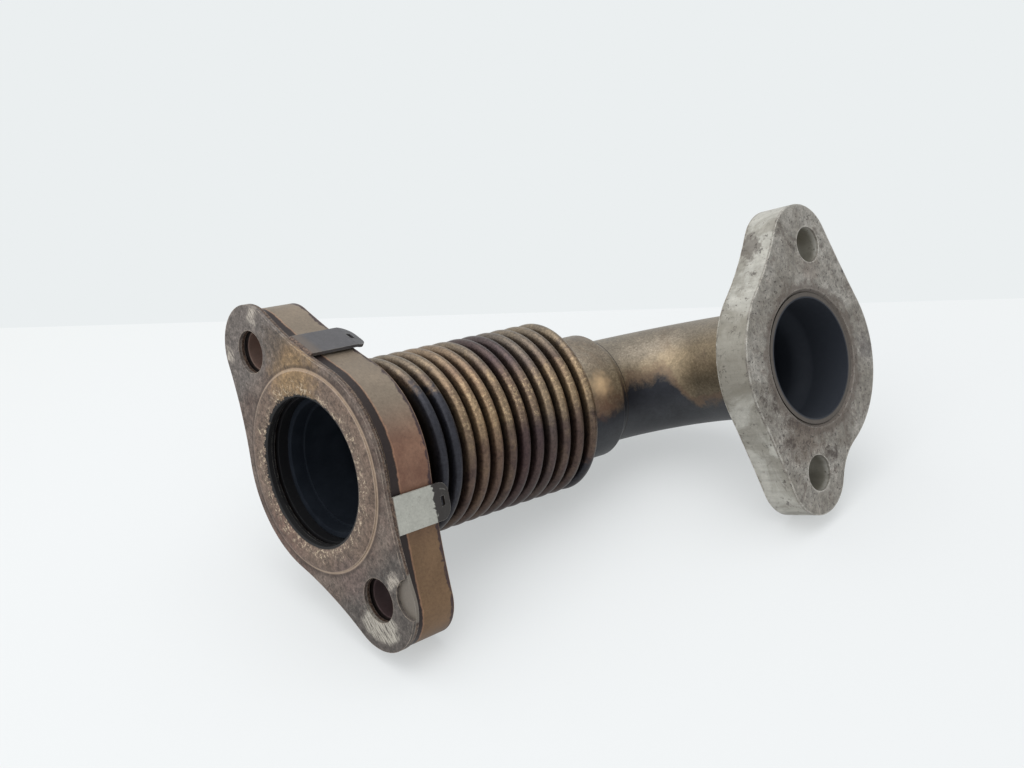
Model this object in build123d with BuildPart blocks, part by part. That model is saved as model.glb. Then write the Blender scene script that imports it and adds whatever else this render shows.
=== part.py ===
# Exhaust gas return hose: a short metal pipe between two bolted flanges,
# with a corrugated bellows that takes up heat growth. All sizes in millimetres.
# It lies on a table, +Z up, on the lower lobe of each flange and the last
# crest of the bellows. The inlet end points along -X.

from build123d import *
from math import cos, hypot, radians, sin, sqrt
import os

os.makedirs("parts", exist_ok=True)

# Attitude on the table
inlet_dip = 12.073          # the inlet axis runs this far below the horizontal
inlet_turn = -49.890        # line of the inlet holes, measured from upright
inlet_height = 34.898       # centre of the inlet face above the table
inlet_x = -63.21            # centre of the inlet face, so that the box is centred
inlet_y = 18.58
bend_turn = 117.0           # direction of the bend, measured from the inlet holes
outlet_turn = -102.6        # line of the outlet holes, measured from the bend

# Inlet flange
inlet_thickness = 11.5
inlet_hole_half = 33.0      # hole centre from the bore centre
inlet_hole_radius = 4.5
inlet_waist_radius = 25.0
inlet_ears = (              # centre, radius, and the hollows beside it, right then left
    (33.6, -0.3, 9.3, 200.0, 200.0),
    (-35.0, -2.0, 9.3, 200.0, 200.0),
)
inlet_edge_break = 0.7

# Gasket, two sheets held by four folded tabs
sheet = 0.8
gasket_bore_radius = 17.4
gasket_hole_radius = 5.1
gasket_waist_radius = 25.9
gasket_ears = (
    (33.0, 0.0, 11.2, 90.0, 90.0),
    (-33.0, 0.0, 11.8, 90.0, 90.0),
)
bead_outer_radius = 23.4
rear_bead_inner_radius = 19.4
rear_bead_outer_radius = 22.4
tab_width = 8.4
tab_places = (              # ear, side, place along that edge, slope of the edge
    (1, 1, 12.8, 28.4),
    (1, -1, 10.9, 27.4),
    (-1, 1, 9.9, 29.9),
    (-1, -1, 12.7, 23.3),
)
tab_gap = 0.15
tab_overhang = 0.3          # strap runs straight this far past the flange
tab_tip_length = 3.4        # rounded tip behind the flange
tab_tip_lean = 0.9          # and how far it leans in
tab_tip_round = 3.0
tab_window_width = 2.2      # opening punched in the tip
tab_window_length = 1.3
tab_window_place = 1.3      # its middle, behind the flange
tab_root = 2.5              # flat of the strap inside its first fold
tab_fold_radius = 0.45      # inside of a fold
notch_centre = (-37.8, 10.6)
notch_radius = 4.6

# Inlet stub, liner and cuff ring
stub_outer_radius = 17.0
stub_wall = 1.5
stub_recess = 2.5
stub_end = 19.0
liner_outer_radius = 13.7
liner_wall = 0.7
liner_start = 6.0
liner_cone_start = 11.5
liner_cone_end = 16.0
liner_end = 60.0
weld_leg = 1.5
ring_start = 13.2
ring_length = 2.4
ring_wall = 1.2

# Bellows
crests = 12
crest_pitch = 4.58
crest_radius = 22.5
valley_radius = 18.2
crest_half = 1.45           # half the width of a crest
crest_break = 0.75          # corners of a crest are taken off by this much
foot = 2.05                 # from a crest's middle to its foot in the valley
mitre_margin = 0.5          # a crest is drawn this far past its mitre planes
bellows_wall = 0.35
first_crest = 18.4
bellows_bend = 10.9         # the bellows is set to this angle end to end
rear_cuff_radius = 16.0
rear_cuff_length = 3.8

# Sleeve between the bellows and the pipe
sleeve_gap = 0.4
sleeve_wall = 0.8
sleeve_front_length = 3.6
sleeve_cone_length = 4.6
sleeve_rear_length = 2.0

# Outlet pipe
pipe_radius = 14.1
pipe_wall = 1.4
pipe_overlap = 4.0          # pipe end inside the sleeve
pipe_lead = 5.2             # straight pipe between the sleeve and the bend
bend_radius = 28.0
pipe_bend = 83.0
outlet_run = 26.9           # end of the bend to the outlet face
swage_radius = 16.6         # outside of the widened end in the flange
swage_cone = 6.0
swage_seat = 1.5            # widened tube that shows behind the flange

# Outlet flange
outlet_thickness = 9.5
outlet_hole_half = 28.8
outlet_hole_radius = 4.5
outlet_waist_radius = 26.0
outlet_ears = (
    (27.6, 2.4, 11.2, 400.0, 68.0),
    (-28.5, 0.6, 10.8, 400.0, 16.0),
)
outlet_edge_break = 0.8
mouth_chamfer = 0.9
mouth_recess = 0.5
outlet_weld_leg = 2.0
cutter_margin = 1.0         # cutting shapes reach this far past the face


# Places along the gas path
def bent(plane, radius, angle):
    """The plane at the end of an arc that turns towards the plane's x direction."""
    turn = radians(angle)
    origin = plane.origin + plane.x_dir * radius * (1 - cos(turn)) + plane.z_dir * radius * sin(turn)
    x_dir = plane.x_dir * cos(turn) - plane.z_dir * sin(turn)
    z_dir = plane.z_dir * cos(turn) + plane.x_dir * sin(turn)
    return Plane(origin=origin, x_dir=x_dir, z_dir=z_dir)


def side_view(plane):
    """Drawing plane through the path: x is the radius and y runs along the path."""
    return Plane(origin=plane.origin, x_dir=plane.x_dir, z_dir=-plane.y_dir)


def path_axis(plane):
    return Axis(plane.origin, plane.z_dir)


inlet_axis = Vector(1, 0, 0).rotate(Axis.Y, inlet_dip)
upright = Vector(0, 0, 1).rotate(Axis.Y, inlet_dip)
spin_axis = Axis((0, 0, 0), inlet_axis)
inlet_origin = Vector(inlet_x, inlet_y, inlet_height)
inlet = Plane(inlet_origin, x_dir=upright.rotate(spin_axis, inlet_turn), z_dir=inlet_axis)
route = Plane(inlet_origin, x_dir=upright.rotate(spin_axis, inlet_turn + bend_turn), z_dir=inlet_axis)

bellows_length = (crests - 1) * crest_pitch
bellows_arc = bellows_length / radians(bellows_bend)
crest_bend = bellows_bend / (crests - 1)
first_crest_plane = route.offset(first_crest)
last_crest_plane = bent(first_crest_plane, bellows_arc, bellows_bend)

sleeve_plane = last_crest_plane.offset(foot + sleeve_gap)
sleeve_length = sleeve_front_length + sleeve_cone_length + sleeve_rear_length
pipe_plane = sleeve_plane.offset(sleeve_length - pipe_overlap)
bend_plane = sleeve_plane.offset(sleeve_length + pipe_lead)
bend_end_plane = bent(bend_plane, bend_radius, pipe_bend)
outlet_route = bend_end_plane.offset(outlet_run)
outlet_line = outlet_route.x_dir.rotate(path_axis(Plane((0, 0, 0), z_dir=outlet_route.z_dir)), outlet_turn)
outlet = Plane(outlet_route.origin, x_dir=outlet_line, z_dir=outlet_route.z_dir)
outlet_back = outlet.offset(-outlet_thickness)


def turned(plane, corners):
    """Solid of revolution about the path from corners given as (radius, place along)."""
    with BuildPart() as piece:
        with BuildSketch(side_view(plane)):
            with BuildLine():
                Polyline(*corners, close=True)
            make_face()
        revolve(axis=path_axis(plane))
    return piece.part


def plate_outline(waist_radius, ears):
    """Outline of a two-hole plate: each ear flows into the waist by a hollow on both sides."""
    with BuildSketch() as outline:
        Circle(waist_radius)
        for x, y, radius, right_hollow, left_hollow in ears:
            with Locations((x, y)):
                Circle(radius)
            for side, hollow in ((-1, right_hollow), (1, left_hollow)):
                span = hypot(x, y)
                along = ((waist_radius + hollow) ** 2 - (radius + hollow) ** 2 + span**2) / (2 * span)
                across = side * sqrt((waist_radius + hollow) ** 2 - along**2)
                centre = (x * along - y * across) / span, (y * along + x * across) / span
                at_waist = waist_radius / (waist_radius + hollow)
                at_ear = radius / (radius + hollow)
                Polygon(
                    (0, 0),
                    (centre[0] * at_waist, centre[1] * at_waist),
                    (x + (centre[0] - x) * at_ear, y + (centre[1] - y) * at_ear),
                    (x, y),
                    align=None,
                )
                with Locations(centre):
                    Circle(hollow, mode=Mode.SUBTRACT)
    return outline.sketch


def rim_edges(plate, plane):
    """Outer edges of the front and back face of a plate that lies along this plane."""
    faces = plate.faces().filter_by(plane).sort_by(path_axis(plane))
    return faces[0].outer_wire().edges() + faces[-1].outer_wire().edges()


# Inlet flange, a thick plate with the stub's bore and two bolt holes
with BuildPart() as inlet_flange:
    with BuildSketch(inlet):
        add(plate_outline(inlet_waist_radius, inlet_ears))
        Circle(stub_outer_radius, mode=Mode.SUBTRACT)
        with Locations((inlet_hole_half, 0), (-inlet_hole_half, 0)):
            Circle(inlet_hole_radius, mode=Mode.SUBTRACT)
    extrude(amount=inlet_thickness)
    chamfer(rim_edges(inlet_flange, inlet), length=inlet_edge_break)
inlet_flange.part.label = "inlet_flange"
export_step(inlet_flange.part, "parts/inlet_flange.step")

# Front gasket sheet, with a raised ring round the bore and a notch by one hole
front_sheet_plane = inlet.offset(-3 * sheet)
with BuildPart() as gasket_front_layer:
    with BuildSketch(front_sheet_plane):
        add(plate_outline(gasket_waist_radius, gasket_ears))
        Circle(gasket_bore_radius, mode=Mode.SUBTRACT)
        with Locations((inlet_hole_half, 0), (-inlet_hole_half, 0)):
            Circle(gasket_hole_radius, mode=Mode.SUBTRACT)
        with Locations(notch_centre):
            Circle(notch_radius, mode=Mode.SUBTRACT)
    extrude(amount=sheet)
    with BuildSketch(front_sheet_plane):
        Circle(bead_outer_radius)
        Circle(gasket_bore_radius, mode=Mode.SUBTRACT)
    extrude(amount=-sheet)
gasket_front_layer.part.label = "gasket_front_layer"
export_step(gasket_front_layer.part, "parts/gasket_front_layer.step")


# Rear gasket sheet, with a bead that meets the flange and four folded tabs
strap_middle = inlet_waist_radius + tab_gap + sheet / 2
strap_turn = inlet_thickness + tab_overhang


def strap(plane):
    """One tab: out of the sheet, along the flange's side, and a rounded tip behind it."""
    with BuildPart() as piece:
        with BuildSketch(plane):
            with BuildLine():
                fold = FilletPolyline(
                    (strap_middle - tab_root, -1.5 * sheet),
                    (strap_middle, -1.5 * sheet),
                    (strap_middle, strap_turn),
                    (strap_middle - tab_tip_lean, strap_turn + tab_tip_length),
                    radius=tab_fold_radius + sheet / 2,
                )
                offset(fold, amount=sheet / 2, kind=Kind.INTERSECTION)
            make_face()
        extrude(amount=tab_width / 2, both=True)
        with BuildSketch(Plane(plane.origin, x_dir=plane.z_dir, z_dir=plane.x_dir)):
            with Locations((0, -strap_turn - tab_tip_length)):
                Rectangle(2 * tab_width, 2 * tab_tip_round)
                RectangleRounded(
                    tab_width, strap_turn, tab_tip_round, align=(Align.CENTER, Align.MIN), mode=Mode.SUBTRACT
                )
            with Locations((0, -inlet_thickness - tab_window_place)):
                Rectangle(tab_window_width, tab_window_length)
        extrude(amount=strap_middle + sheet, mode=Mode.SUBTRACT)
    return piece.part


rear_sheet_plane = inlet.offset(-2 * sheet)
with BuildPart() as gasket_rear_layer:
    with BuildSketch(rear_sheet_plane):
        add(plate_outline(gasket_waist_radius, gasket_ears))
        Circle(gasket_bore_radius, mode=Mode.SUBTRACT)
        with Locations((inlet_hole_half, 0), (-inlet_hole_half, 0)):
            Circle(gasket_hole_radius, mode=Mode.SUBTRACT)
    extrude(amount=sheet)
    with BuildSketch(inlet.offset(-sheet)):
        Circle(rear_bead_outer_radius)
        Circle(rear_bead_inner_radius, mode=Mode.SUBTRACT)
    extrude(amount=sheet)
    for side_x, side_y, tab_along, edge_slope in tab_places:
        slope = radians(edge_slope)
        outward = inlet.x_dir * side_x * sin(slope) + inlet.y_dir * side_y * cos(slope)
        along = inlet.x_dir * side_x * cos(slope) - inlet.y_dir * side_y * sin(slope)
        tab_plane = Plane(inlet.origin + along * tab_along, x_dir=outward, z_dir=outward.cross(inlet.z_dir))
        add(strap(tab_plane))
gasket_rear_layer.part.label = "gasket_rear_layer"
export_step(gasket_rear_layer.part, "parts/gasket_rear_layer.step")

# Inlet stub, the tube that the flange and the bellows are fixed to
stub_bore_radius = stub_outer_radius - stub_wall
inlet_stub = turned(route, [
    (stub_bore_radius, stub_recess),
    (stub_outer_radius, stub_recess),
    (stub_outer_radius, stub_end),
    (stub_bore_radius, stub_end),
])
inlet_stub.label = "inlet_stub"
export_step(inlet_stub, "parts/inlet_stub.step")

# Weld bead between the flange and the stub
inlet_weld = turned(route, [
    (stub_outer_radius, inlet_thickness),
    (stub_outer_radius + weld_leg, inlet_thickness),
    (stub_outer_radius, inlet_thickness + weld_leg),
])
inlet_weld.label = "inlet_weld"
export_step(inlet_weld, "parts/inlet_weld.step")

# Ring that clamps the front cuff of the bellows on the stub
front_cuff_radius = stub_outer_radius + bellows_wall
cuff_ring = turned(route, [
    (front_cuff_radius, ring_start),
    (front_cuff_radius + ring_wall, ring_start),
    (front_cuff_radius + ring_wall, ring_start + ring_length),
    (front_cuff_radius, ring_start + ring_length),
])
cuff_ring.label = "cuff_ring"
export_step(cuff_ring, "parts/cuff_ring.step")

# Flow liner, fixed in the stub and free at its rear end inside the bellows
liner_bore_radius = liner_outer_radius - liner_wall
flow_liner = turned(route, [
    (stub_bore_radius - liner_wall, liner_start),
    (stub_bore_radius, liner_start),
    (stub_bore_radius, liner_cone_start),
    (liner_outer_radius, liner_cone_end),
    (liner_outer_radius, liner_end),
    (liner_bore_radius, liner_end),
    (liner_bore_radius, liner_cone_end),
    (stub_bore_radius - liner_wall, liner_cone_start),
])
flow_liner.label = "flow_liner"
export_step(flow_liner, "parts/flow_liner.step")


# Bellows, one formed wall: each crest is a ring mitred to the next
def convolution(plane, front_foot, rear_foot, front_run, rear_run):
    """One crest of the wall, from its front foot to its rear foot."""
    inside = crest_radius - bellows_wall
    with BuildPart() as ring:
        with BuildSketch(side_view(plane)):
            with BuildLine():
                Polyline(
                    (front_foot, -front_run),
                    (front_foot, -foot),
                    (crest_radius - crest_break, -crest_half),
                    (crest_radius, crest_break - crest_half),
                    (crest_radius, crest_half - crest_break),
                    (crest_radius - crest_break, crest_half),
                    (rear_foot, foot),
                    (rear_foot, rear_run),
                    (rear_foot - bellows_wall, rear_run),
                    (rear_foot - bellows_wall, foot - bellows_wall),
                    (inside - crest_break / 2, crest_half - bellows_wall),
                    (inside - crest_break / 2, bellows_wall - crest_half),
                    (front_foot - bellows_wall, bellows_wall - foot),
                    (front_foot - bellows_wall, -front_run),
                    close=True,
                )
            make_face()
        revolve(axis=path_axis(plane))
    return ring.part


mitre_run = crest_pitch / 2 + mitre_margin
with BuildPart() as bellows:
    for crest in range(crests):
        at_front = crest == 0
        at_rear = crest == crests - 1
        crest_plane = bent(first_crest_plane, bellows_arc, crest * crest_bend)
        ring = convolution(
            crest_plane,
            front_cuff_radius if at_front else valley_radius,
            rear_cuff_radius if at_rear else valley_radius,
            first_crest - ring_start if at_front else mitre_run,
            foot + rear_cuff_length if at_rear else mitre_run,
        )
        if not at_front:
            front_mitre = bent(first_crest_plane, bellows_arc, (crest - 0.5) * crest_bend)
            ring = split(ring, bisect_by=front_mitre, keep=Keep.TOP, mode=Mode.PRIVATE)
        if not at_rear:
            rear_mitre = bent(first_crest_plane, bellows_arc, (crest + 0.5) * crest_bend)
            ring = split(ring, bisect_by=rear_mitre, keep=Keep.BOTTOM, mode=Mode.PRIVATE)
        add(ring)
bellows.part.label = "bellows"
export_step(bellows.part, "parts/bellows.step")

# Sleeve, a tapered collar from the rear cuff of the bellows down to the pipe
cone_start = sleeve_front_length
cone_end = sleeve_front_length + sleeve_cone_length
end_sleeve = turned(sleeve_plane, [
    (rear_cuff_radius, 0),
    (rear_cuff_radius + sleeve_wall, 0),
    (rear_cuff_radius + sleeve_wall, cone_start),
    (pipe_radius + sleeve_wall, cone_end),
    (pipe_radius + sleeve_wall, sleeve_length),
    (pipe_radius, sleeve_length),
    (pipe_radius, cone_end),
    (rear_cuff_radius, cone_start),
])
end_sleeve.label = "end_sleeve"
export_step(end_sleeve, "parts/end_sleeve.step")

# Outlet pipe, bent in one piece and widened where it passes through the flange
pipe_bore_radius = pipe_radius - pipe_wall
swage_start = outlet_run - outlet_thickness - swage_seat - swage_cone
swage_end = outlet_run - outlet_thickness - swage_seat
pipe_end = outlet_run - mouth_recess
with BuildPart() as outlet_pipe:
    with BuildLine(side_view(pipe_plane)) as pipe_path:
        lead = Line((0, 0), (0, pipe_overlap + pipe_lead))
        elbow = JernArc(lead @ 1, lead % 1, bend_radius, -pipe_bend)
        Line(elbow @ 1, elbow @ 1 + (elbow % 1) * swage_start)
    with BuildSketch(pipe_plane):
        Circle(pipe_radius)
        Circle(pipe_bore_radius, mode=Mode.SUBTRACT)
    sweep(path=pipe_path.wires()[0])
    add(turned(bend_end_plane, [
        (pipe_bore_radius, swage_start),
        (pipe_radius, swage_start),
        (swage_radius, swage_end),
        (swage_radius, pipe_end),
        (swage_radius - pipe_wall, pipe_end),
        (swage_radius - pipe_wall, swage_end),
    ]))
outlet_pipe.part.label = "outlet_pipe"
export_step(outlet_pipe.part, "parts/outlet_pipe.step")

# Outlet flange, a casting whose ears have one straight side and one stepped side
with BuildPart() as outlet_flange:
    with BuildSketch(outlet_back):
        add(plate_outline(outlet_waist_radius, outlet_ears))
    extrude(amount=outlet_thickness)
    chamfer(rim_edges(outlet_flange, outlet), length=outlet_edge_break)
    with BuildSketch(outlet_back):
        Circle(swage_radius)
        with Locations((outlet_hole_half, 0), (-outlet_hole_half, 0)):
            Circle(outlet_hole_radius)
    extrude(amount=outlet_thickness, mode=Mode.SUBTRACT)
    add(turned(outlet, [
        (swage_radius - cutter_margin, cutter_margin),
        (swage_radius + mouth_chamfer + cutter_margin, cutter_margin),
        (swage_radius - cutter_margin, -mouth_chamfer - cutter_margin),
    ]), mode=Mode.SUBTRACT)
outlet_flange.part.label = "outlet_flange"
export_step(outlet_flange.part, "parts/outlet_flange.step")

# Weld bead between the pipe and the back of the outlet flange
outlet_weld = turned(bend_end_plane.offset(outlet_run - outlet_thickness), [
    (swage_radius, 0),
    (swage_radius + outlet_weld_leg, 0),
    (swage_radius, -swage_seat),
])
outlet_weld.label = "outlet_weld"
export_step(outlet_weld, "parts/outlet_weld.step")
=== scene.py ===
from functools import partial
from math import atan2, cos, hypot, pi, radians, remainder, sin, sqrt

import bpy
from mathutils import Matrix, Vector


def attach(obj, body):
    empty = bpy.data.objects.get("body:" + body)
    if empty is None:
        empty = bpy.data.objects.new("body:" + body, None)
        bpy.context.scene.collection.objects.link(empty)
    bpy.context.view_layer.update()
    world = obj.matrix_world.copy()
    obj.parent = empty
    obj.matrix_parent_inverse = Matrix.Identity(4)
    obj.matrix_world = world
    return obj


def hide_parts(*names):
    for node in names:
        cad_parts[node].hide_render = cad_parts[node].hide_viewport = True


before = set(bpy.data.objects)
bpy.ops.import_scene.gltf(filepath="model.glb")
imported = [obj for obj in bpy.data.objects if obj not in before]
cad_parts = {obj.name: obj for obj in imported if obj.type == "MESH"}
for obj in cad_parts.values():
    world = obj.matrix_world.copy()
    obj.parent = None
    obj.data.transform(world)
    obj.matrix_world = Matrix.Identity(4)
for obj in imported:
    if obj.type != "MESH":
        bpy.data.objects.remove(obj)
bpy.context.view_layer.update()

# Table, camera and light.
# The hose lies on a pale table top whose back edge shows behind it, under broad soft light.

mm = 0.001


def srgb(red, green, blue):
    """A colour written as it looks, in steps of 255, for a shader socket."""
    steps = [value / 255 for value in (red, green, blue)]
    linear = [s / 12.92 if s <= 0.04045 else ((s + 0.055) / 1.055) ** 2.4 for s in steps]
    return (*linear, 1.0)


def feed(node, values):
    """Gives inputs, by name or number, their numbers or the sockets they follow."""
    for key, value in values.items():
        if isinstance(value, bpy.types.NodeSocket):
            node.id_data.links.new(value, node.inputs[key])
        else:
            node.inputs[key].default_value = value


def put(tree, kind, values=None, **settings):
    """A new shader node with its settings and inputs."""
    node = tree.nodes.new("ShaderNode" + kind)
    for name, value in settings.items():
        setattr(node, name, value)
    feed(node, values or {})
    return node


def maths(operation, *values):
    """One step of reckoning with numbers and sockets, at least one of them a socket."""
    tree = next(value.id_data for value in values if isinstance(value, bpy.types.NodeSocket))
    return put(tree, "Math", dict(enumerate(values)), operation=operation).outputs[0]


times = partial(maths, "MULTIPLY")


def new_material(name):
    material = bpy.data.materials.new(name)
    material.use_nodes = True
    return material, material.node_tree


def fresh(add, **settings):
    """Adds an object by one of Blender's operators, with nothing else selected."""
    bpy.ops.object.select_all(action="DESELECT")
    add(**settings)
    return bpy.context.object


camera = fresh(
    bpy.ops.object.camera_add,
    location=(-176.85 * mm, -171.1 * mm, 169.94 * mm),
    rotation=(radians(61.546), radians(4.023), radians(-44.824)),
)
camera.data.lens = 39.34
camera.data.sensor_width = 36
camera.data.clip_start = 0.005
scene = bpy.context.scene
scene.camera = camera
scene.view_settings.view_transform = "Standard"

# The two points lie on the table's back edge, at the left and right of the photo.
table_left = Vector((-52.8 * mm, 247.5 * mm, 0))
table_right = Vector((189.6 * mm, -36.7 * mm, 0))
table_reach = 3.0
table_drop = Vector((0, 0, -0.05 * mm))
table_edge = (table_right - table_left).normalized()
table_near = table_edge.cross(Vector((0, 0, 1)))

table = fresh(bpy.ops.mesh.primitive_plane_add, size=2 * table_reach)
table.name = "table"
table.rotation_euler.z = atan2(table_edge.y, table_edge.x)
table.location = (table_left + table_right) / 2 + table_near * table_reach + table_drop


def background_rays(tree):
    """1 for rays that see the pale background, straight on, through glass or in metal."""
    rays = put(tree, "LightPath").outputs
    seen = rays["Is Camera Ray"]
    for kind in ("Is Glossy Ray", "Is Transmission Ray"):
        seen = maths("MAXIMUM", seen, rays[kind])
    return seen


# Far off the paper glows evenly; near the hose it glows less, so that its shadow shows.
shadow_reach = 0.30
shadow_core = 0.4 * shadow_reach
paper_glow = 0.50
table_paper, tree = new_material("table_paper")
paper = tree.nodes["Principled BSDF"]
feed(paper, {"Base Color": srgb(211, 212, 212), "Roughness": 0.75, "Specular IOR Level": 0.2})
glow = put(tree, "Emission", {"Color": srgb(242, 245, 245)})
position = put(tree, "NewGeometry").outputs["Position"]
away = put(tree, "VectorMath", {0: position}, operation="LENGTH").outputs["Value"]
plain_far = put(tree, "MapRange", {
    "Value": away, "From Min": shadow_core, "From Max": shadow_reach, "To Min": paper_glow,
}, interpolation_type="SMOOTHSTEP").outputs["Result"]
glow_share = times(background_rays(tree), plain_far)
paper_layers = {0: glow_share, 1: paper.outputs[0], 2: glow.outputs[0]}
paper_mix = put(tree, "MixShader", paper_layers)
feed(tree.nodes["Material Output"], {"Surface": paper_mix.outputs[0]})
table.data.materials.append(table_paper)

world = bpy.data.worlds.new("soft_room")
scene.world = world
world.use_nodes = True
sky = world.node_tree
sky.nodes.clear()
room = put(sky, "Background", {"Color": (0.93, 0.96, 1.0, 1), "Strength": 0.80})
wall = put(sky, "Background", {"Color": srgb(235, 239, 240), "Strength": 1.0})
sky_layers = {0: background_rays(sky), 1: room.outputs[0], 2: wall.outputs[0]}
sky_mix = put(sky, "MixShader", sky_layers)
put(sky, "OutputWorld", {"Surface": sky_mix.outputs[0]})

light_target = Vector((0, 0, 0.03))


def soft_lamp(name, place, size, power):
    """A square lamp that faces the hose."""
    lamp = fresh(bpy.ops.object.light_add, type="AREA", location=place)
    lamp.name = name
    lamp.data.size = size
    lamp.data.energy = power
    lamp.rotation_euler = (light_target - Vector(place)).to_track_quat("-Z", "Y").to_euler()


soft_lamp("ceiling_light", (-0.05, 0.10, 0.75), 0.8, 4.2)
soft_lamp("window_light", (-0.65, -0.05, 0.50), 0.6, 1.6)


# Places along the gas path, in metres, as the pieces are assembled.
# Each is a matrix whose z runs along the gas; the hose lies on the lowest point of each
# flange and on the last crest of the bellows.

inlet_dip = radians(12.073)
inlet_turn = radians(-49.89)
bend_turn = radians(117.0)
outlet_turn = radians(-102.6)
inlet_centre = Vector((-63.21, 18.58, 34.898)) * mm

crests = 12
crest_pitch = 4.58 * mm
first_crest = 18.4 * mm
bellows_bend = radians(10.9)
bellows_arc = (crests - 1) * crest_pitch / bellows_bend
crest_foot = 2.05 * mm
sleeve_start = crest_foot + 0.4 * mm
sleeve_length = 10.2 * mm
pipe_overlap = 4.0 * mm
pipe_lead = 5.2 * mm
bend_radius = 28.0 * mm
pipe_bend = radians(83.0)
outlet_run = 26.9 * mm


def along(place, distance):
    return place @ Matrix.Translation((0, 0, distance))


def around(place, radius, angle):
    """The place at the end of an arc that turns towards the place's x."""
    reach = Matrix.Translation((radius * (1 - cos(angle)), 0, radius * sin(angle)))
    return place @ reach @ Matrix.Rotation(angle, 4, "Y")


inlet_axis = Matrix.Translation(inlet_centre) @ Matrix.Rotation(pi / 2 + inlet_dip, 4, "Y")
inlet = inlet_axis @ Matrix.Rotation(pi + inlet_turn, 4, "Z")
route = inlet_axis @ Matrix.Rotation(pi + inlet_turn + bend_turn, 4, "Z")
first_place = along(route, first_crest)
last_place = around(first_place, bellows_arc, bellows_bend)
sleeve_place = along(last_place, sleeve_start)
pipe_place = along(sleeve_place, sleeve_length - pipe_overlap)
elbow_place = along(pipe_place, pipe_overlap + pipe_lead)
elbow_end = around(elbow_place, bend_radius, pipe_bend)
outlet = along(elbow_end, outlet_run) @ Matrix.Rotation(outlet_turn, 4, "Z")


# Inlet flange: a thick two-hole plate of carbon steel, cut from plate.
# Heat has turned its side copper brown, and the stub is welded in its bore.

inlet_thickness = 11.5 * mm
inlet_hole_half = 33.0 * mm
bolt_radius = 4.5 * mm
inlet_waist_radius = 25.0 * mm
# Each ear has its centre, its radius and the radii of the hollows on its right and left.
inlet_ears = [
    (33.6 * mm, -0.3 * mm, 9.3 * mm, 200 * mm, 200 * mm),
    (-35.0 * mm, -2.0 * mm, 9.3 * mm, 200 * mm, 200 * mm),
]
stub_radius = 17.0 * mm
round_sides = 160
hollow_steps = 16
ear_steps = 72
waist_steps = 56
same_point = 0.002 * mm
broken_edge = 30
sharp_edge = 40


def settle():
    """Writes the active object's place, turn and scale into its mesh."""
    bpy.ops.object.transform_apply(location=True, rotation=True, scale=True)


def pick(*pieces):
    """Selects these pieces alone; the first one is active."""
    bpy.ops.object.select_all(action="DESELECT")
    for piece in pieces:
        piece.select_set(True)
    bpy.context.view_layer.objects.active = pieces[0]


def mode(name):
    bpy.ops.object.mode_set(mode=name)


def open_mesh():
    mode("EDIT")
    bpy.ops.mesh.select_all(action="SELECT")


def close_mesh(merge=0.0):
    """Merges points this close, turns all faces outward and leaves edit mode."""
    bpy.ops.mesh.select_all(action="SELECT")
    if merge:
        bpy.ops.mesh.remove_doubles(threshold=merge)
    bpy.ops.mesh.normals_make_consistent(inside=False)
    mode("OBJECT")


def draw_on(way):
    """Extrudes what is selected by this much."""
    bpy.ops.mesh.extrude_region_move(TRANSFORM_OT_translate={"value": way})


def draw_rings(corners, foot=Vector((0, 0, 0)), way=Vector((0, 0, 1))):
    """Draws the selected ring on along one way; each corner is a radius and a height."""
    radius, height = corners[0]
    for next_radius, next_height in corners[1:]:
        draw_on(way * (next_height - height))
        grow = (next_radius / radius,) * 3
        bpy.ops.transform.resize(value=grow, center_override=foot + way * next_height)
        radius, height = next_radius, next_height


def open_tube(name, corners, sides):
    """A tube with open ends, drawn up from a circle and left in edit mode."""
    radius, height = corners[0]
    piece = fresh(
        bpy.ops.mesh.primitive_circle_add, vertices=sides, radius=radius, location=(0, 0, height)
    )
    piece.name = name
    settle()
    open_mesh()
    draw_rings(corners)
    return piece


def turned(name, corners, sides=round_sides):
    """A ring of closed section."""
    piece = open_tube(name, corners + corners[:1], sides)
    close_mesh(same_point)
    return piece


def square_ring(name, inner, outer, low, high):
    return turned(name, [(inner, low), (outer, low), (outer, high), (inner, high)])


def disc(radius, low, high, x=0.0, y=0.0):
    piece = fresh(
        bpy.ops.mesh.primitive_cylinder_add,
        vertices=round_sides, radius=radius, depth=high - low, location=(x, y, (low + high) / 2),
    )
    settle()
    return piece


def arc(centre, radius, start, end, steps, shortest=False):
    """Points of an arc round centre, from facing start to facing end, without the first."""
    first, last = (atan2(y - centre[1], x - centre[0]) for x, y in (start, end))
    turn = remainder(last - first, 2 * pi) if shortest else (last - first) % (2 * pi)
    angles = [first + turn * step / steps for step in range(1, steps + 1)]
    return [(centre[0] + radius * cos(angle), centre[1] + radius * sin(angle)) for angle in angles]


def plate_points(waist, ears):
    """Outline, anticlockwise, of a round waist with ears that flow into it by hollow sides."""
    hollows = []
    for x, y, radius, right_hollow, left_hollow in ears:
        span = hypot(x, y)
        pair = []
        for side, hollow in ((-1, right_hollow), (1, left_hollow)):
            ahead = ((waist + hollow) ** 2 - (radius + hollow) ** 2 + span**2) / (2 * span)
            across = side * sqrt((waist + hollow) ** 2 - ahead**2)
            pair.append(((x * ahead - y * across) / span, (y * ahead + x * across) / span))
        hollows.append(pair)
    points = []
    for number, (x, y, radius, right_hollow, left_hollow) in enumerate(ears):
        right, left = hollows[number]
        coming = hollows[(number + 1) % len(ears)][0]
        points += arc(right, right_hollow, (0, 0), (x, y), hollow_steps, shortest=True)
        points += arc((x, y), radius, right, left, ear_steps)
        points += arc(left, left_hollow, (x, y), (0, 0), hollow_steps, shortest=True)
        points += arc((0, 0), waist, left, coming, waist_steps)
    return points


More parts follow.
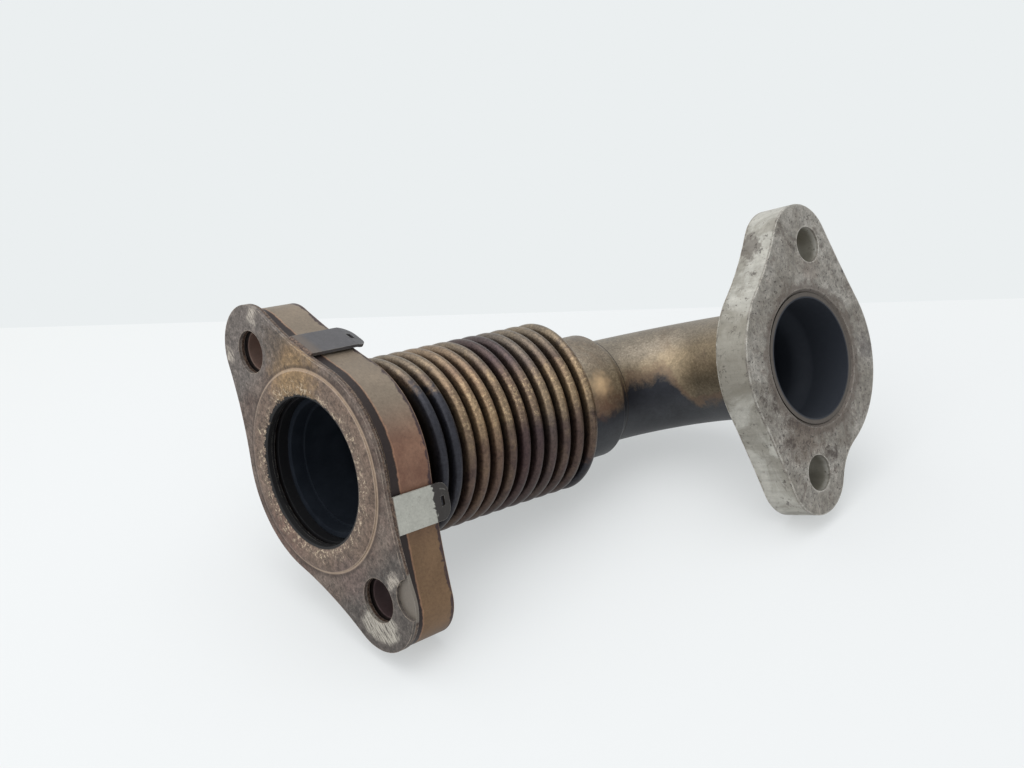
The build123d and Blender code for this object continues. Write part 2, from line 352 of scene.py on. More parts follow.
def outline_plate(name, waist, ears, low, high):
    """A plate from a circle whose points are moved onto the outline."""
    outline = plate_points(waist, ears)
    plate = fresh(
        bpy.ops.mesh.primitive_circle_add, vertices=len(outline), radius=1, fill_type="NGON"
    )
    plate.name = name
    for vertex, (x, y) in zip(plate.data.vertices, outline):
        vertex.co = (x, y, low)
    open_mesh()
    draw_on((0, 0, high - low))
    close_mesh()
    return plate


def apply_modifier(piece, kind, **settings):
    pick(piece)
    modifier = piece.modifiers.new(kind.lower(), kind)
    for name, value in settings.items():
        setattr(modifier, name, value)
    bpy.ops.object.modifier_apply(modifier=modifier.name)


def combine(piece, tool, operation="DIFFERENCE"):
    apply_modifier(piece, "BOOLEAN", operation=operation, object=tool, solver="EXACT")
    bpy.data.objects.remove(tool, do_unlink=True)


def drill(piece, radius, low, high, x=0.0, y=0.0):
    """A round hole right through a plate that lies between two heights."""
    combine(piece, disc(radius, low - mm, high + mm, x, y))


def drill_bolts(piece, radius, low, high, hole_half):
    for x in (hole_half, -hole_half):
        drill(piece, radius, low, high, x)


def smooth(piece, degrees):
    """Shades a piece smooth, apart from edges sharper than this."""
    pick(piece)
    bpy.ops.object.shade_smooth_by_angle(angle=radians(degrees))


def soften_edges(piece, width, segments=3):
    """Breaks every sharp edge, and keeps the faces beside it flat to the eye."""
    apply_modifier(
        piece, "BEVEL", width=width, segments=segments, limit_method="ANGLE",
        angle_limit=radians(broken_edge), use_clamp_overlap=True,
    )
    smooth(piece, sharp_edge)
    apply_modifier(piece, "WEIGHTED_NORMAL", keep_sharp=True)


def seat(piece, place):
    """Puts a piece that was made round the z axis at its place on the hose."""
    pick(piece)
    piece.matrix_world = place
    settle()


def hand_over(piece, node, material):
    """Stands the finished piece in for its node, with its finish."""
    piece.data.materials.clear()
    piece.data.materials.append(material)
    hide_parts(node)
    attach(piece, "root")


inlet_flange = outline_plate(
    "inlet_flange_plate", inlet_waist_radius, inlet_ears, 0, inlet_thickness
)
drill(inlet_flange, stub_radius, 0, inlet_thickness)
drill_bolts(inlet_flange, bolt_radius, 0, inlet_thickness, inlet_hole_half)
soften_edges(inlet_flange, 0.7 * mm)
seat(inlet_flange, inlet)


plus = partial(maths, "ADD")
minus = partial(maths, "SUBTRACT")


def object_place(tree):
    return put(tree, "TexCoord").outputs["Object"]


def noise(where, scale, detail, rough, warp=0.0):
    return put(where.id_data, "TexNoise", {
        "Vector": where, "Scale": scale, "Detail": detail, "Roughness": rough, "Distortion": warp,
    }).outputs["Fac"]


def ramp(value, low, high):
    """0 at low and 1 at high, with a smooth run between; low may be the greater."""
    return put(value.id_data, "MapRange", {
        "Value": value, "From Min": low, "From Max": high, "To Min": 0.0, "To Max": 1.0,
    }, interpolation_type="SMOOTHSTEP").outputs["Result"]


def band(value, low, rise, fall, high):
    """1 from rise to fall, and 0 below low and above high."""
    return times(ramp(value, low, rise), ramp(value, high, fall))


def blend(amount, first, second):
    return put(
        amount.id_data, "Mix", {0: amount, 6: first, 7: second}, data_type="RGBA"
    ).outputs[2]


def patched(pattern, low, high, first, second):
    """One hue where the pattern is below low, another where it is above high."""
    return blend(ramp(pattern, low, high), srgb(*first), srgb(*second))


def parts_of(where):
    return put(where.id_data, "SeparateXYZ", {0: where}).outputs


def facing_up(tree):
    """1 where the surface faces up, -1 where it faces down."""
    return parts_of(put(tree, "NewGeometry").outputs["Normal"])[2]


def vector_maths(operation, where, other, output=0):
    values = {0: where, 1: other}
    return put(where.id_data, "VectorMath", values, operation=operation).outputs[output]


def stretched(where, scale, turn=(0, 0, 0)):
    values = {"Vector": where, "Scale": scale, "Rotation": turn}
    return put(where.id_data, "Mapping", values).outputs[0]


def local_place(tree, place):
    """Object coordinates turned into the millimetres of a place on the hose."""
    inverse = place.inverted()
    turned_in = put(tree, "Mapping", {
        "Vector": object_place(tree),
        "Rotation": inverse.to_euler("XYZ"),
        "Location": inverse.to_translation(),
    })
    return vector_maths("MULTIPLY", turned_in.outputs[0], (1 / mm, 1 / mm, 1 / mm))


def across_axis(x, y):
    """Distance from the axis, from the two places across it."""
    flat = put(x.id_data, "CombineXYZ", {0: x, 1: y}).outputs[0]
    return vector_maths("LENGTH", flat, (0, 0, 0), "Value")


def from_hole(x, y, hole_x):
    """Distance from the axis of a bolt hole whose x is given in metres."""
    return across_axis(minus(x, hole_x / mm), y)


def scaled(where, factor):
    values = {0: where, "Scale": factor}
    return put(where.id_data, "VectorMath", values, operation="SCALE").outputs[0]


def tint(coat, mask, hue, share=1.0):
    """Lays a hue over a colour, up to its share where the mask is 1."""
    amount = mask if share == 1.0 else times(mask, share)
    return blend(amount, coat, srgb(*hue))


def mottle(coat, *patterns):
    """Darkens or lightens a colour by patterns, each from its dark to its light factor."""
    for pattern, dark, light in patterns:
        factor = put(coat.id_data, "MapRange", {
            "Value": pattern, "From Min": 0.32, "From Max": 0.68, "To Min": dark, "To Max": light,
        }).outputs["Result"]
        coat = scaled(coat, factor)
    return coat


def stain(place, centre, reach, ragged=1.0, soft=0.5):
    """1 in a round stain at centre, with a ragged edge; all in millimetres."""
    away = vector_maths("DISTANCE", place, centre, "Value")
    shaken = times(minus(noise(place, 0.45, 5, 0.65), 0.5), ragged * 5)
    return ramp(plus(away, shaken), reach, reach * (1 - soft))


def stained(coat, place, *stains):
    """Lays stains over a colour, each with centre, reach, ragged, soft, hue and share."""
    for centre, reach, ragged, soft, hue, share in stains:
        coat = tint(coat, stain(place, centre, reach, ragged, soft), hue, share)
    return coat


def ragged_run(value, place, scale, shake):
    """A value shaken by noise, for a border that wanders."""
    return plus(value, times(minus(noise(place, scale, 5, 0.65, 0.3), 0.5), shake))


def new_group(name, given, made):
    """A node group with numbers at their usual values going in, and numbers coming out."""
    group = bpy.data.node_groups.new(name, "ShaderNodeTree")
    sockets = group.interface
    for label, value in given.items():
        socket = sockets.new_socket(name=label, in_out="INPUT", socket_type="NodeSocketFloat")
        socket.default_value = value
    for label in made:
        sockets.new_socket(name=label, in_out="OUTPUT", socket_type="NodeSocketFloat")
    return group, group.nodes.new("NodeGroupInput").outputs


def build_pitting():
    """Group: the pits and scuffs of old steel, as masks for dark and bright, and a height."""
    usual = {"Scale": 1.0, "Pits": 0.5, "Scuffs": 0.5}
    group, given = new_group("old_steel_surface", usual, ("Dark", "Bright", "Height"))
    where = scaled(object_place(group), given["Scale"])
    fine = noise(where, 2600, 4, 0.6)
    pits = ramp(noise(where, 900, 6, 0.62, 0.4), 0.60, 0.74)
    pit_area = ramp(noise(where, 140, 6, 0.6, 0.3), 0.42, 0.62)
    pits = times(times(pits, pit_area), given["Pits"])
    lines = stretched(where, (1, 9, 1), (0.4, 0.9, 0.5))
    scuffs = times(ramp(noise(lines, 260, 4, 0.7, 0.6), 0.62, 0.78), given["Scuffs"])
    height = minus(times(fine, 0.35), pits)
    feed(group.nodes.new("NodeGroupOutput"), {"Dark": pits, "Bright": scuffs, "Height": height})
    return group


old_steel_surface = build_pitting()


def build_worn_edge():
    """Group: 1 along a piece's edges, broken up as edges wear in handling."""
    group, given = new_group("worn_edge", {"Width": 0.6 * mm, "Amount": 0.8}, ("Edge",))
    rounded = put(group, "Bevel", {"Radius": given["Width"]}, samples=6).outputs[0]
    flat = put(group, "NewGeometry").outputs["Normal"]
    agree = vector_maths("DOT_PRODUCT", rounded, flat, "Value")
    edge = ramp(minus(1.0, agree), 0.02, 0.16)
    broken = ramp(noise(object_place(group), 420, 5, 0.65), 0.36, 0.58)
    feed(group.nodes.new("NodeGroupOutput"), {"Edge": times(times(edge, broken), given["Amount"])})
    return group


worn_edge = build_worn_edge()


def weathered(coat, scale, pits, scuffs, dark, bright=None):
    """Pits and scuffs on a colour, each a hue and its share; also gives their height."""
    values = {"Scale": scale, "Pits": pits, "Scuffs": scuffs}
    surface = put(coat.id_data, "Group", values, node_tree=old_steel_surface).outputs
    coat = tint(coat, surface["Dark"], *dark)
    if bright:
        coat = tint(coat, surface["Bright"], *bright)
    return coat, surface["Height"]


def edge_worn(coat, width, amount, hue, share=1.0):
    values = {"Width": width, "Amount": amount}
    edge = put(coat.id_data, "Group", values, node_tree=worn_edge).outputs["Edge"]
    return tint(coat, edge, hue, share)


def finish(material, coat, rough, metal, height, strength, distance=0.3 * mm, shine=0.5):
    """Connects the material's surface, with relief from a height, and gives it back."""
    tree = material.node_tree
    relief = {"Height": height, "Strength": strength, "Distance": distance}
    feed(tree.nodes["Principled BSDF"], {
        "Base Color": coat, "Roughness": rough, "Metallic": metal, "Specular IOR Level": shine,
        "Normal": put(tree, "Bump", relief).outputs[0],
    })
    return material


def heat_tinted_plate():
    """Copper and gold oxide on the side, purple-brown at its back edge, a dark purple-brown painted
    shadow of the gasket along its front edge with a thin painted highlight, and painted light
    making the top olive.
    """
    material, tree = new_material("heat_tinted_plate")
    place = local_place(tree, inlet)
    x, y, z = parts_of(place)
    up = facing_up(tree)
    broad = noise(place, 0.09, 5, 0.6, 0.5)
    grain = noise(place, 1.7, 5, 0.7)
    coat = patched(broad, 0.36, 0.64, (116, 82, 66), (128, 96, 78))
    # Painted light: faces turned up are painted lighter and greyer, as if lit from above.
    coat = tint(coat, ramp(up, 0.45, 0.85), (126, 113, 98))
    coat = tint(coat, ramp(x, -16.0, -30.0), (114, 90, 64), 0.85)
    # Painted shadow: a dark purple-brown band along the front edge, where the gasket shades the
    # flange.
    front = ragged_run(z, place, 0.5, 0.9)
    coat = tint(coat, ramp(front, 2.6, 2.3), (42, 32, 30))
    # Painted highlight: a thin light line where the front edge catches the light.
    coat = tint(coat, band(front, 2.2, 2.4, 2.6, 2.9), (176, 132, 104), 0.35)
    rear_face = ramp(z, 11.25, 11.45)
    coat = tint(coat, rear_face, (112, 90, 76), 0.8)
    back = ramp(ragged_run(z, place, 0.35, 4.0), 10.4, 11.0)
    rear_edge = times(back, minus(1.0, rear_face))
    coat = tint(coat, rear_edge, (56, 42, 46), 0.9)
    coat = mottle(coat, (grain, 0.80, 1.16), (broad, 0.84, 1.12))
    coat, relief = weathered(coat, 1.6, 0.8, 0.25, ((58, 44, 42), 0.8), ((172, 144, 116), 0.7))
    coat = edge_worn(coat, 0.5 * mm, 0.4, (176, 146, 116))
    # Painted shade in the bolt holes: one hole's wall is greyed, the other's darkened.
    for side, hue in ((1, (130, 108, 98)), (-1, (88, 72, 72))):
        from_bolt = from_hole(x, y, side * inlet_hole_half)
        in_hole = ramp(from_bolt, bolt_radius / mm + 0.45, bolt_radius / mm + 0.15)
        coat = tint(coat, in_hole, hue)
    coat = tint(coat, ramp(across_axis(x, y), 18.4, 17.6), (27, 27, 29))
    rough = plus(times(grain, 0.3), 0.34)
    return finish(material, coat, rough, 0.5, relief, 0.25)


hand_over(inlet_flange, "inlet_flange", heat_tinted_plate())


# Gasket: two rusted sheets of stamped steel, with a raised ring round the bore.
# The front sheet has a crescent cut by one hole; four tabs of the rear one hold the flange.

sheet = 0.8 * mm
gasket_bore = 17.4 * mm
gasket_hole = 5.1 * mm
gasket_waist = 25.9 * mm
gasket_ears = [
    (33.0 * mm, 0, 11.2 * mm, 90 * mm, 90 * mm),
    (-33.0 * mm, 0, 11.8 * mm, 90 * mm, 90 * mm),
]
bead_outer = 23.4 * mm
bead_foot = -2.5 * sheet
bead_top = -4 * sheet
bead_fall = 0.62 * sheet
bead_steps = 14
rear_bead_inner = 19.4 * mm
rear_bead_outer = 22.4 * mm
rear_bead_slope = 0.3 * mm
notch_x = -37.8 * mm
notch_y = 10.6 * mm
notch_radius = 4.6 * mm


def gasket_sheet(name, low):
    plate = outline_plate(name, gasket_waist, gasket_ears, low, low + sheet)
    drill(plate, gasket_bore, low, low + sheet)
    drill_bolts(plate, gasket_hole, low, low + sheet, inlet_hole_half)
    return plate


front_sheet = gasket_sheet("gasket_front_sheet", -3 * sheet)
drill(front_sheet, notch_radius, -3 * sheet, -2 * sheet, notch_x, notch_y)
bead_middle = (gasket_bore + bead_outer) / 2
bead_half = (bead_outer - gasket_bore) / 2
bead_profile = [(gasket_bore, bead_foot)]
for step in range(bead_steps + 1):
    away = 2 * step / bead_steps - 1
    bead_profile.append((bead_middle + bead_half * away, bead_top + bead_fall * away**4))
bead_profile.append((bead_outer, bead_foot))
combine(front_sheet, turned("gasket_bead", bead_profile), "UNION")
soften_edges(front_sheet, 0.16 * mm, 2)
seat(front_sheet, inlet)


def rusted_gasket():
    """Speckled rust-brown, golden round the bore, grey at the ears, scraped by the lower bolt."""
    material, tree = new_material("rusted_gasket")
    place = local_place(tree, inlet)
    x, y = parts_of(place)[:2]
    radius = across_axis(x, y)
    broad = noise(place, 0.12, 6, 0.62, 0.6)
    middling = noise(place, 0.5, 6, 0.65, 0.4)
    grain = noise(place, 2.0, 5, 0.75, 0.2)
    coat = patched(broad, 0.38, 0.62, (94, 79, 71), (114, 101, 92))
    ears = ramp(maths("ABSOLUTE", x), 24.5, 30.0)
    grey = patched(x, -2.0, 2.0, (82, 77, 73), (108, 101, 96))
    coat = blend(times(ears, 0.85), coat, grey)
    ring = ramp(radius, 24.0, 22.6)
    coat = tint(coat, ring, (116, 98, 85), 0.8)
    coat = stained(
        coat, place,
        ((19.0, 11.0, -3), 13.0, 2.5, 0.8, (152, 124, 84), 0.65),
        ((-6.0, -22.0, -3), 13.0, 2.5, 0.8, (102, 78, 68), 0.6),
        ((-25.0, -5.0, -3), 7.5, 2.0, 0.7, (112, 96, 90), 0.6),
        ((29.5, 9.0, -3), 6.0, 2.0, 0.7, (92, 80, 70), 0.7),
    )
    coat = mottle(coat, (middling, 0.66, 1.26), (grain, 0.60, 1.36))
    coat = mottle(coat, (noise(place, 0.85, 5, 0.75, 0.4), 0.56, 1.40))
    dark = ramp(noise(place, 1.1, 5, 0.7, 0.3), 0.57, 0.68)
    coat = tint(coat, dark, (56, 42, 36), 0.7)
    inner = ramp(ragged_run(radius, place, 0.22, 11.0), 21.0, 19.0)
    flecks = ramp(noise(place, 1.2, 6, 0.75, 0.5), 0.51, 0.62)
    coat = tint(coat, times(inner, flecks), (202, 184, 158), 0.85)
    # Painted highlight along the outer foot of the bead, and painted shade just outside it, where
    # the bead's step shades the sheet.
    coat = tint(coat, band(radius, 23.1, 23.5, 23.7, 24.1), (190, 168, 146), 0.6)
    coat = tint(coat, band(radius, 23.7, 24.1, 24.3, 25.0), (62, 50, 44), 0.5)
    streaks = noise(stretched(place, (0.3, 3.4, 1), (0, 0, 0.25)), 1.2, 5, 0.7, 0.4)
    from_bolt = ragged_run(from_hole(x, y, -inlet_hole_half), place, 0.5, 3.0)
    worn = times(ramp(from_bolt, 10.4, 9.0), stain(place, (-38.8, -4.6, -3), 7.6, 1.2, 0.35))
    scraped = times(worn, ramp(streaks, 0.40, 0.56))
    coat = tint(coat, times(worn, ramp(streaks, 0.38, 0.52)), (122, 114, 105), 0.6)
    coat = tint(coat, scraped, (206, 199, 186), 0.75)
    rub_streaks = ramp(streaks, 0.38, 0.58)
    for centre, reach in (((38.4, 6.8, -3), 3.0), ((37.5, -8.4, -3), 2.6), ((-32.0, 8.2, -3), 2.8)):
        rub = times(stain(place, centre, reach, 1.2, 0.7), rub_streaks)
        coat = tint(coat, rub, (206, 196, 182), 0.7)
    coat = edge_worn(coat, 0.35 * mm, 0.55, (190, 174, 156))
    crumbled = times(minus(noise(place, 0.8, 5, 0.7), 0.46), ramp(x, -8.0, 12.0))
    sooty = ramp(minus(radius, times(crumbled, 4.0)), 18.1, 17.8)
    coat = tint(coat, sooty, (24, 23, 24))
    rough = minus(0.66, times(scraped, 0.25))
    metal = plus(0.3, times(scraped, 0.5))
    height = plus(times(grain, 0.5), middling)
    return finish(material, coat, rough, metal, height, 0.35, 0.25 * mm)


hand_over(front_sheet, "gasket_front_layer", rusted_gasket())

tab_width = 8.4 * mm
# Each tab has its end and side of the flange, its place along that side and the side's slope.
tab_places = [
    (1, 1, 12.8 * mm, radians(28.4)),
    (1, -1, 10.9 * mm, radians(27.4)),
    (-1, 1, 9.9 * mm, radians(29.9)),
    (-1, -1, 12.7 * mm, radians(23.3)),
]
tab_thickness = 0.96 * sheet
tab_gap = 0.15 * mm
tab_overhang = 0.3 * mm
tab_tip_length = 3.4 * mm
tab_tip_lean = 0.9 * mm
tab_tip_round = 3.0 * mm
tab_root = 2.5 * mm
window_width = 2.2 * mm
window_length = 1.3 * mm
fold_radius = 0.85 * mm
fold_steps = 6
run_steps = 6
tip_steps = 11
strap_middle = inlet_waist_radius + tab_gap + sheet / 2
rear_sheet_middle = -1.5 * sheet


def tip_width(ahead):
    """Width of a tab's rounded tip, this far past the flange."""
    into_round = max(0.0, ahead - (tab_tip_length - tab_tip_round))
    return tab_width - 2 * (tab_tip_round - sqrt(max(0.0, tab_tip_round**2 - into_round**2)))


def strap_mesh():
    """One tab: out of the sheet, along the flange's side, and a rounded tip behind it."""
    flat = tab_root - fold_radius
    strap = fresh(bpy.ops.mesh.primitive_plane_add, size=1)
    strap.scale = (flat, tab_width, 1)
    strap.location = (strap_middle - tab_root + flat / 2, 0, rear_sheet_middle)
    settle()
    mode("EDIT")
    bpy.ops.mesh.select_mode(type="EDGE")
    bpy.ops.mesh.select_all(action="DESELECT")
    mode("OBJECT")
    outer = max(vertex.co.x for vertex in strap.data.vertices)
    for edge in strap.data.edges:
        edge.select = all(outer - strap.data.vertices[v].co.x < same_point for v in edge.vertices)
    mode("EDIT")
    for step in range(fold_steps):
        before, after = (pi / 2 * ((step + more) / fold_steps - 1) for more in (0, 1))
        folded = Vector((cos(after) - cos(before), 0, sin(after) - sin(before)))
        draw_on(folded * fold_radius)
    run = inlet_thickness + tab_overhang - rear_sheet_middle - fold_radius
    for step in range(run_steps):
        draw_on((0, 0, run / run_steps))
    place = 0.0
    for step in range(tip_steps):
        next_place = tab_tip_length * sin(pi / 2 * (step + 1) / tip_steps)
        reach = next_place - place
        draw_on((-tab_tip_lean * reach / tab_tip_length, 0, reach))
        narrow = tip_width(next_place) / tip_width(place)
        bpy.ops.transform.resize(value=(1, narrow, 1), center_override=(0, 0, 0))
        place = next_place
    mode("OBJECT")
    apply_modifier(strap, "SOLIDIFY", thickness=tab_thickness, offset=0)
    window = fresh(bpy.ops.mesh.primitive_cube_add, size=1)
    window.scale = (4 * sheet, window_width, window_length)
    window.location = (strap_middle, 0, inlet_thickness + window_length)
    settle()
    combine(strap, window)
    return strap


straps = []
for side_x, side_y, tab_along, slope in tab_places:
    strap = strap_mesh()
    outward = Vector((side_x * sin(slope), side_y * cos(slope), 0))
    along_edge = Vector((side_x * cos(slope), -side_y * sin(slope), 0))
    width_way = Vector((0, 0, 1)).cross(outward)
    turn = Matrix((outward, width_way, (0, 0, 1))).transposed().to_4x4()
    seat(strap, Matrix.Translation(along_edge * tab_along) @ turn)
    straps.append(strap)

rear_sheet = gasket_sheet("gasket_rear_sheet", -2 * sheet)
rear_bead = turned("gasket_rear_bead", [
    (rear_bead_inner, rear_sheet_middle),
    (rear_bead_outer, rear_sheet_middle),
    (rear_bead_outer - rear_bead_slope, 0),
    (rear_bead_inner + rear_bead_slope, 0),
])
for extra in [rear_bead] + straps:
    combine(rear_sheet, extra, "UNION")
soften_edges(rear_sheet, 0.14 * mm, 2)
seat(rear_sheet, inlet)


def tab_steel():
    """Dull grey sheet, paler on the lower tabs, darker at the tips of the lower tabs and rusted
    between the sheets.
    """
    material, tree = new_material("tab_steel")
    place = local_place(tree, inlet)
    x, y, z = parts_of(place)
    broad = noise(place, 0.25, 5, 0.65, 0.4)
    grain = noise(place, 2.0, 5, 0.7)
    lower = ramp(x, 5.0, -5.0)
    coat = blend(lower, srgb(82, 80, 82), srgb(168, 167, 158))
    coat = mottle(coat, (broad, 0.84, 1.12), (grain, 0.88, 1.10))
    upper_fold = times(ramp(z, 3.0, 0.5), ramp(x, -5.0, 5.0))
    coat = tint(coat, upper_fold, (98, 88, 80), 0.8)
    # The lower tabs are darker at their tips, past the flange's back edge.
    soot = times(ramp(ragged_run(z, place, 0.45, 4.0), 9.8, 10.1), lower)
    coat = tint(coat, soot, (50, 46, 44))
    between_sheets = ramp(z, -0.35, -0.75)
    rust = patched(grain, 0.42, 0.6, (58, 44, 38), (104, 86, 72))
    coat = blend(between_sheets, coat, rust)
    coat = tint(coat, ramp(across_axis(x, y), 20.0, 19.0), (24, 23, 24))
    laid_bare = stain(place, (notch_x / mm, notch_y / mm, -1.6), 5.4, 0.4, 0.1)
    coat = tint(coat, laid_bare, (118, 111, 102), 0.85)
    coat, relief = weathered(coat, 1.4, 0.8, 0.4, ((86, 78, 70), 0.8), ((200, 197, 188), 0.8))
    coat = edge_worn(coat, 0.3 * mm, 0.5, (168, 164, 156))
    return finish(material, coat, 0.5, 0.4, relief, 0.2)


hand_over(rear_sheet, "gasket_rear_layer", tab_steel())


# Inlet stub, flow liner, weld and cuff ring: the tube that carries the bellows.
# The stub is welded in the flange, the thin liner sits inside it, and both are black with soot.

stub_wall = 1.5 * mm
stub_recess = 2.5 * mm
stub_end = 19.0 * mm
liner_radius = 13.7 * mm
liner_wall = 0.7 * mm
liner_start = 6.0 * mm
cone_low = 11.5 * mm
cone_high = 16.0 * mm
liner_end = 60.0 * mm
ring_start = 13.2 * mm
ring_length = 2.4 * mm
ring_wall = 1.2 * mm
bellows_wall = 0.35 * mm
weld_leg = 1.5 * mm
weld_overlap = 0.15 * mm
weld_bulge = 0.62
ripple_swell = 0.012
sides_per_ripple = 8
stub_bore = stub_radius - stub_wall


def sooty_bore():
    """Smooth dry soot on steel, nearly black and a little blue, with a few paler flecks."""
    material, tree = new_material("sooty_bore")
    where = object_place(tree)
    broad = noise(where, 130, 5, 0.6, 0.3)
    coat = patched(broad, 0.35, 0.7, (20, 25, 32), (29, 34, 41))
    fleck = ramp(noise(where, 1300, 4, 0.6), 0.64, 0.74)
    coat = blend(times(fleck, 0.1), coat, srgb(70, 64, 60))
    return finish(material, coat, 0.85, 0.0, broad, 0.1, shine=0.12)


soot = sooty_bore()
stub = square_ring("inlet_stub_tube", stub_bore, stub_radius, stub_recess, stub_end)
soften_edges(stub, 0.25 * mm, 2)
seat(stub, route)
hand_over(stub, "inlet_stub", soot)

liner = turned("flow_liner_tube", [
    (stub_bore - liner_wall, liner_start),
    (stub_bore, liner_start),
    (stub_bore, cone_low),
    (liner_radius, cone_high),
    (liner_radius, liner_end),
    (liner_radius - liner_wall, liner_end),
    (liner_radius - liner_wall, cone_high),
    (stub_bore - liner_wall, cone_low),
])
smooth(liner, 30)
seat(liner, route)
hand_over(liner, "flow_liner", soot)


def weld_steel():
    """Mottled steel of a hand-run bead, dark with oxide."""
    material, tree = new_material("weld_steel")
    where = object_place(tree)
    broad = noise(where, 300, 5, 0.6, 0.5)
    coat = patched(broad, 0.35, 0.65, (58, 50, 44), (104, 90, 76))
    return finish(material, coat, 0.5, 0.6, broad, 0.4)


bead_metal = weld_steel()


def weld_bead(name, radius, leg, height, way, ripples, place):
    """A fillet bead with even ripples, in the corner between a tube and a plate."""
    bead = turned(name, [
        (radius - weld_overlap, height - way * weld_overlap),
        (radius + leg, height - way * weld_overlap),
        (radius + leg * weld_bulge, height + way * leg * weld_bulge),
        (radius - weld_overlap, height + way * leg),
    ], sides=ripples * sides_per_ripple)
    for vertex in bead.data.vertices:
        x, y, z = vertex.co
        if hypot(x, y) > radius:
            swell = 1 + ripple_swell * sin(atan2(y, x) * ripples)
            vertex.co = (x * swell, y * swell, z)
    smooth(bead, 60)
    seat(bead, place)
    return bead


inlet_weld = weld_bead("inlet_weld_bead", stub_radius, weld_leg, inlet_thickness, 1, 36, route)
hand_over(inlet_weld, "inlet_weld", bead_metal)

front_cuff = stub_radius + bellows_wall
cuff_ring = square_ring(
    "cuff_clamp_ring", front_cuff, front_cuff + ring_wall, ring_start, ring_start + ring_length
)
soften_edges(cuff_ring, 0.3 * mm, 3)
seat(cuff_ring, route)


# Bellows: thin stainless tube, rolled into twelve rounded crests with narrow valleys.
# It is tan and olive with heat, black on the first crests, purple-brown on two later ones, with
# painted light on the crests and painted shade below them and in the valleys.

crest_radius = 22.5 * mm
valley_radius = 18.2 * mm
crest_round = 1.45 * mm
valley_round = crest_pitch / 2 - crest_round
rear_cuff = 16.0 * mm
rear_cuff_length = 3.8 * mm
wave_steps = 8
foot_steps = 3
bellows_sides = 144
ring_join = 0.02 * mm


def wave_points(foot_radius, way):
    """Half a crest, from its top down to the foot; way is -1 to the front and 1 to the rear."""
    top = crest_radius - crest_round
    foot = foot_radius + valley_round
    half = crest_round + valley_round
    falling = [pi / 2 * step / wave_steps for step in range(wave_steps + 1)]
    landing = [pi / 2 * step / foot_steps for step in range(foot_steps + 1)]
    points = [(top + crest_round * cos(a), way * crest_round * sin(a)) for a in falling]
    for a in landing:
        points.append((foot - valley_round * sin(a), way * (half - valley_round * cos(a))))
    return points


def crest_ring(number):
    """One crest with half a valley on each side, already on the bellows' bend."""
    front_foot = front_cuff if number == 0 else valley_radius
    rear_foot = rear_cuff if number == crests - 1 else valley_radius
    corners = list(reversed(wave_points(front_foot, -1))) + wave_points(rear_foot, 1)[1:]
    if number == 0:
        corners.insert(0, (front_cuff, ring_start - first_crest))
    if number == crests - 1:
        corners.append((rear_cuff, crest_foot + rear_cuff_length))
    ring = open_tube("crest", corners, bellows_sides)
    mode("OBJECT")
    rise = ring.data.attributes.new("rise", "FLOAT", "POINT")
    count = ring.data.attributes.new("crest_number", "FLOAT", "POINT")
    step = bellows_bend / (crests - 1)
    for vertex in ring.data.vertices:
        x, y, z = vertex.co
        height = (hypot(x, y) - valley_radius) / (crest_radius - valley_radius)
        rise.data[vertex.index].value = height
        count.data[vertex.index].value = number
        straight_end = (number == 0 and z < 0) or (number == crests - 1 and z > 0)
        ahead, left_over = (0.0, z) if straight_end else (z / crest_pitch, 0.0)
        ring_place = around(first_place, bellows_arc, step * (number + ahead))
        vertex.co = ring_place @ Vector((x, y, left_over))
    return ring


rings = [crest_ring(number) for number in range(crests)]
pick(*rings)
bpy.ops.object.join()
bellows = bpy.context.object
bellows.name = "bellows_wall"
open_mesh()
close_mesh(ring_join)
apply_modifier(bellows, "SOLIDIFY", thickness=bellows_wall, offset=-1)
smooth(bellows, 60)


def attribute(tree, name):
    node = put(tree, "Attribute", attribute_name=name, attribute_type="GEOMETRY")
    return node.outputs["Fac"]


def near_crest(number, centre, reach):
    """1 on the crest at centre, falling to 0 within reach crests of it."""
    away = maths("ABSOLUTE", minus(number, centre))
    return ramp(away, reach, reach * 0.45)


